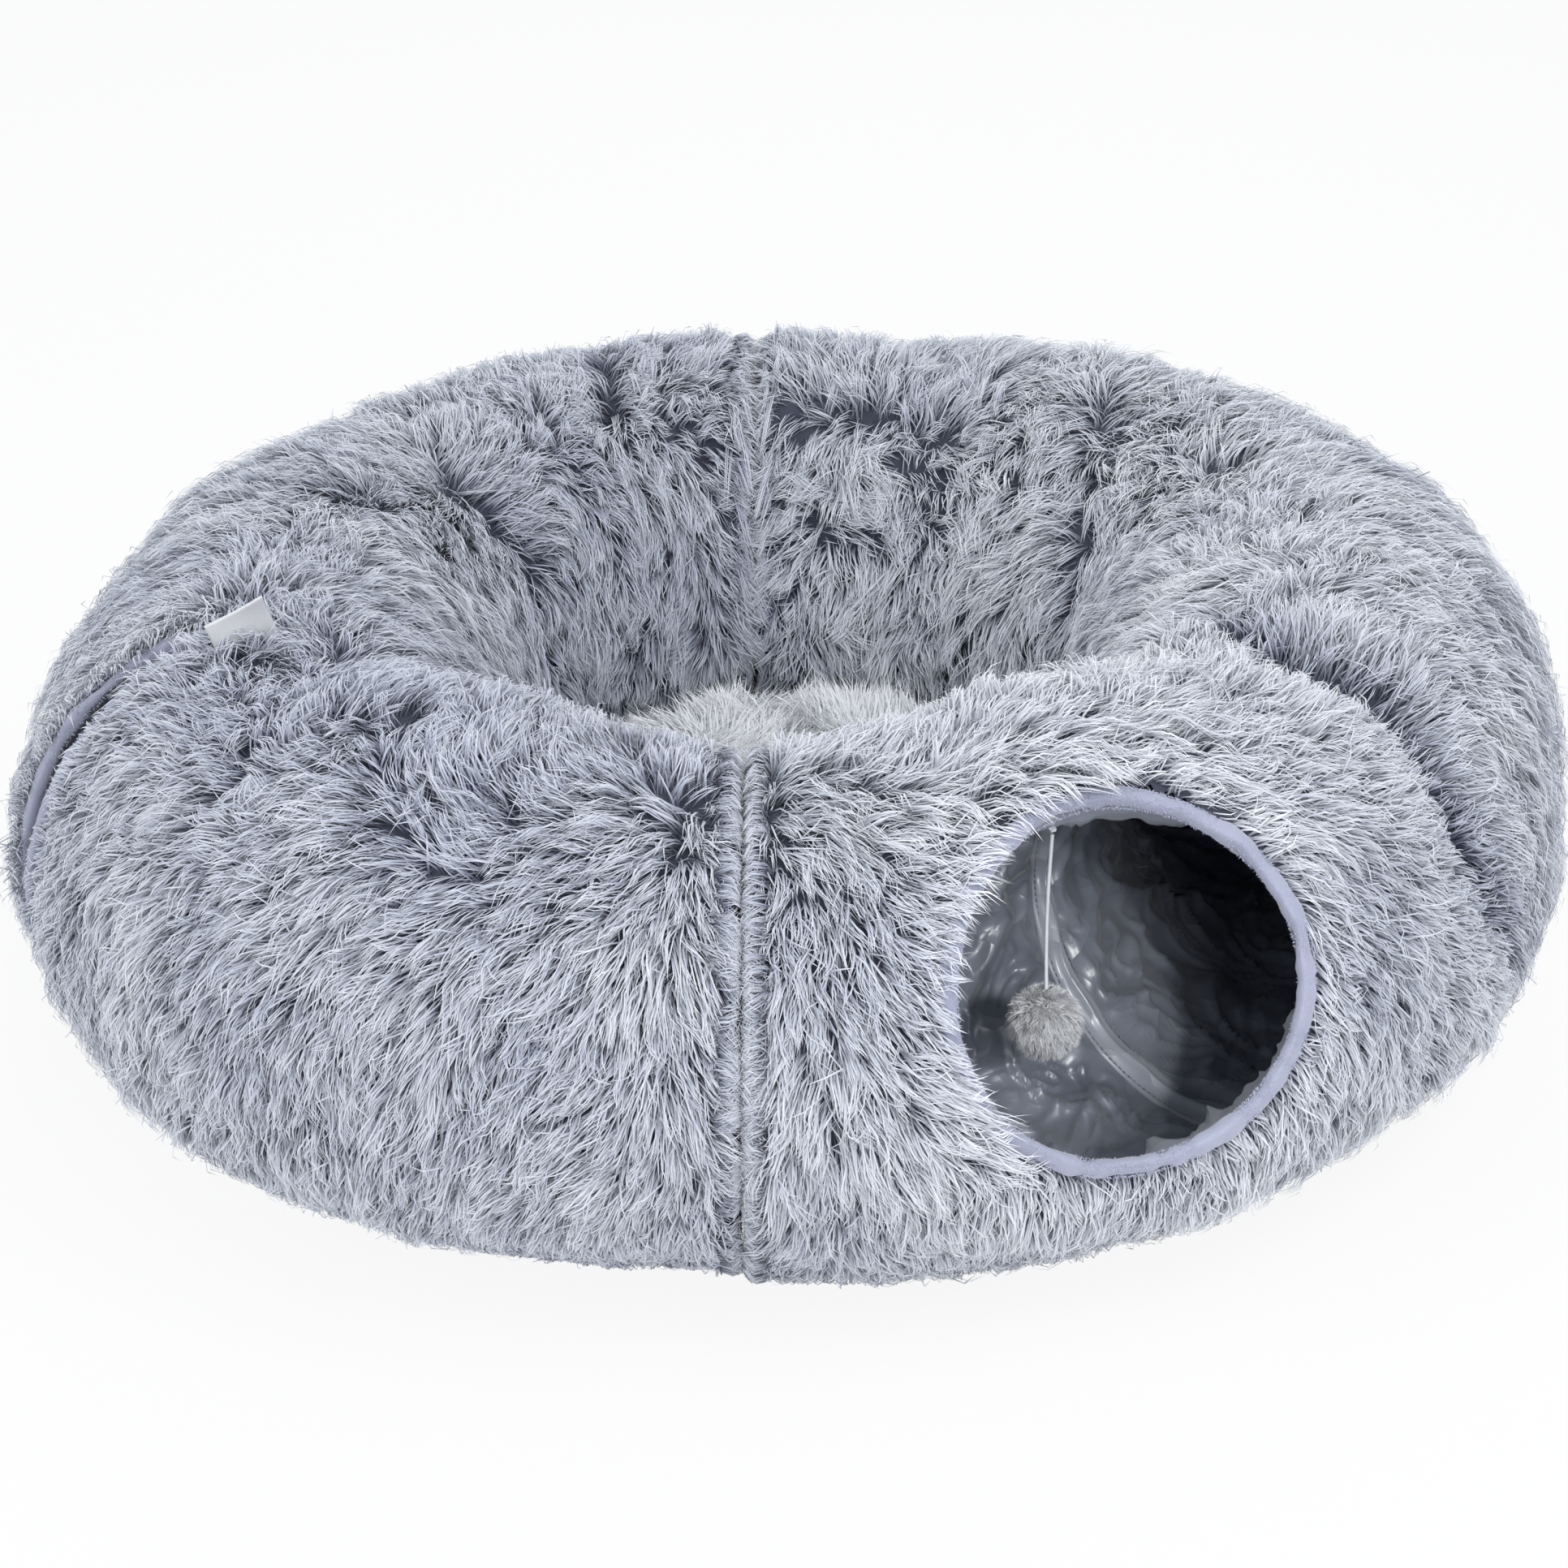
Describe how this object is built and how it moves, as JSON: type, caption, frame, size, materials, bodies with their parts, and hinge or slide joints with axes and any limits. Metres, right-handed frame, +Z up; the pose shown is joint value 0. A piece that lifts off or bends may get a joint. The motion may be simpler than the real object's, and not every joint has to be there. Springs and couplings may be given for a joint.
{
  "type": "plush ring cat tunnel",
  "caption": "Ring-shaped plush cat tunnel: zip-joined halves on spring-steel hoops, bound openings, a hanging pom-pom and a lift-out round mat.",
  "frame": {"origin": "on the floor under the middle of the ring's bounding box", "axes": "+Z up, -Y is the front with the right opening and the front zip, +X to the right of a viewer in front"},
  "size_m": [0.8904, 0.8866, 0.2937],
  "materials": {
    "grey_plush": "long-pile frosted plush, dark at the roots",
    "grey_satin": "crinkled satin lining",
    "casing_cloth": "woven tape, stitched on both edges",
    "lavender_velour": "short velour",
    "spring_steel": "bare spring wire",
    "zip_tape": "woven zip tape",
    "zip_coil": "nylon coil",
    "zip_metal": "plated die-cast metal",
    "white_plush": "short fluffy plush",
    "filling": "loose polyester filling",
    "base_cloth": "plain woven cloth",
    "toy_cord": "thin white elastic cord",
    "label_cloth": "bare folded satin label"
  },
  "bodies": {
    "left_half": {"left_middle_plush": "grey_plush", "left_middle_lining": "grey_satin", "left_front_mid_hoop": "spring_steel", "left_front_mid_casing": "casing_cloth", "left_rear_mid_hoop": "spring_steel", "left_rear_mid_casing": "casing_cloth", "left_opening_binding": "lavender_velour", "side_label": "label_cloth"},
    "left_front_end": {"left_front_plush": "grey_plush", "left_front_lining": "grey_satin", "left_front_end_hoop": "spring_steel", "left_front_end_casing": "casing_cloth", "front_zip_left_tape": "zip_tape", "front_zip_left_coil": "zip_coil"},
    "left_rear_end": {"left_rear_plush": "grey_plush", "left_rear_lining": "grey_satin", "left_rear_end_hoop": "spring_steel", "left_rear_end_casing": "casing_cloth", "rear_zip_left_tape": "zip_tape", "rear_zip_left_coil": "zip_coil"},
    "right_half": {"right_front_plush": "grey_plush", "right_front_lining": "grey_satin", "right_front_end_hoop": "spring_steel", "right_front_end_casing": "casing_cloth", "right_front_mid_hoop": "spring_steel", "right_front_mid_casing": "casing_cloth", "right_opening_binding": "lavender_velour", "front_zip_right_tape": "zip_tape", "front_zip_right_coil": "zip_coil"},
    "right_mid": {"right_middle_plush": "grey_plush", "right_middle_lining": "grey_satin", "right_rear_mid_hoop": "spring_steel", "right_rear_mid_casing": "casing_cloth"},
    "right_rear_end": {"right_rear_plush": "grey_plush", "right_rear_lining": "grey_satin", "right_rear_end_hoop": "spring_steel", "right_rear_end_casing": "casing_cloth", "rear_zip_right_tape": "zip_tape", "rear_zip_right_coil": "zip_coil"},
    "front_slider": {"front_zip_slider": "zip_metal"},
    "front_pull": {"front_zip_pull": "zip_metal"},
    "rear_slider": {"rear_zip_slider": "zip_metal"},
    "rear_pull": {"rear_zip_pull": "zip_metal"},
    "toy_swivel": {"toy_knot": "toy_cord"},
    "toy_swing": {"toy_cord": "toy_cord", "toy_pompom": "white_plush"},
    "mat": {"mat_cover": "white_plush", "mat_filling": "filling", "mat_base": "base_cloth"}
  },
  "joints": [
    {"name": "halves_part", "type": "slide", "parent": "left_half", "child": "right_half", "axis": [1, 0, 0], "range_m": [0, 0.15]},
    {"name": "right_middle_fold", "type": "hinge", "parent": "right_half", "child": "right_mid", "pos_m": [-0.0025, 0, 0.1343], "axis": [0, 0, -1], "range_deg": [0, 40], "stiffness_Nm_per_rad": 1, "deforming": ["right_middle_plush", "right_middle_lining"]},
    {"name": "right_rear_fold", "type": "hinge", "parent": "right_mid", "child": "right_rear_end", "pos_m": [-0.0025, 0, 0.1343], "axis": [0, 0, -1], "range_deg": [0, 40], "stiffness_Nm_per_rad": 1, "deforming": ["right_rear_plush", "right_rear_lining"]},
    {"name": "left_front_fold", "type": "hinge", "parent": "left_half", "child": "left_front_end", "pos_m": [-0.0425, 0, 0.1343], "axis": [0, 0, -1], "range_deg": [0, 33], "stiffness_Nm_per_rad": 1, "deforming": ["left_front_plush", "left_front_lining"]},
    {"name": "left_rear_fold", "type": "hinge", "parent": "left_half", "child": "left_rear_end", "pos_m": [-0.0425, 0, 0.1343], "axis": [0, 0, 1], "range_deg": [0, 33], "stiffness_Nm_per_rad": 1, "deforming": ["left_rear_plush", "left_rear_lining"]},
    {"name": "front_zip_run", "type": "hinge", "parent": "right_half", "child": "front_slider", "pos_m": [-0.0225, -0.313, 0.1343], "axis": [1, 0, 0], "range_deg": [0, 290]},
    {"name": "front_pull_swing", "type": "hinge", "parent": "front_slider", "child": "front_pull", "pos_m": [-0.0225, -0.22213, 0.05444], "axis": [1, 0, 0], "range_deg": [-40, 135]},
    {"name": "rear_zip_run", "type": "hinge", "parent": "right_rear_end", "child": "rear_slider", "pos_m": [-0.0225, 0.313, 0.1343], "axis": [-1, 0, 0], "range_deg": [0, 290]},
    {"name": "rear_pull_swing", "type": "hinge", "parent": "rear_slider", "child": "rear_pull", "pos_m": [-0.0225, 0.22213, 0.05444], "axis": [-1, 0, 0], "range_deg": [-40, 135]},
    {"name": "toy_swing_front_back", "type": "hinge", "parent": "right_half", "child": "toy_swivel", "pos_m": [0.13179, -0.31098, 0.2441], "axis": [1, 0, 0], "range_deg": [-35, 35]},
    {"name": "toy_swing_side", "type": "hinge", "parent": "toy_swivel", "child": "toy_swing", "pos_m": [0.13179, -0.31098, 0.2441], "axis": [0, 1, 0], "range_deg": [-35, 35]},
    {"name": "mat_lift", "type": "slide", "parent": "left_half", "child": "mat", "axis": [0, 0, 1], "range_m": [0, 0.3]}
  ],
  "couplings": [
    {"joint": "right_rear_fold", "follows": "right_middle_fold", "ratio": 1}
  ]
}
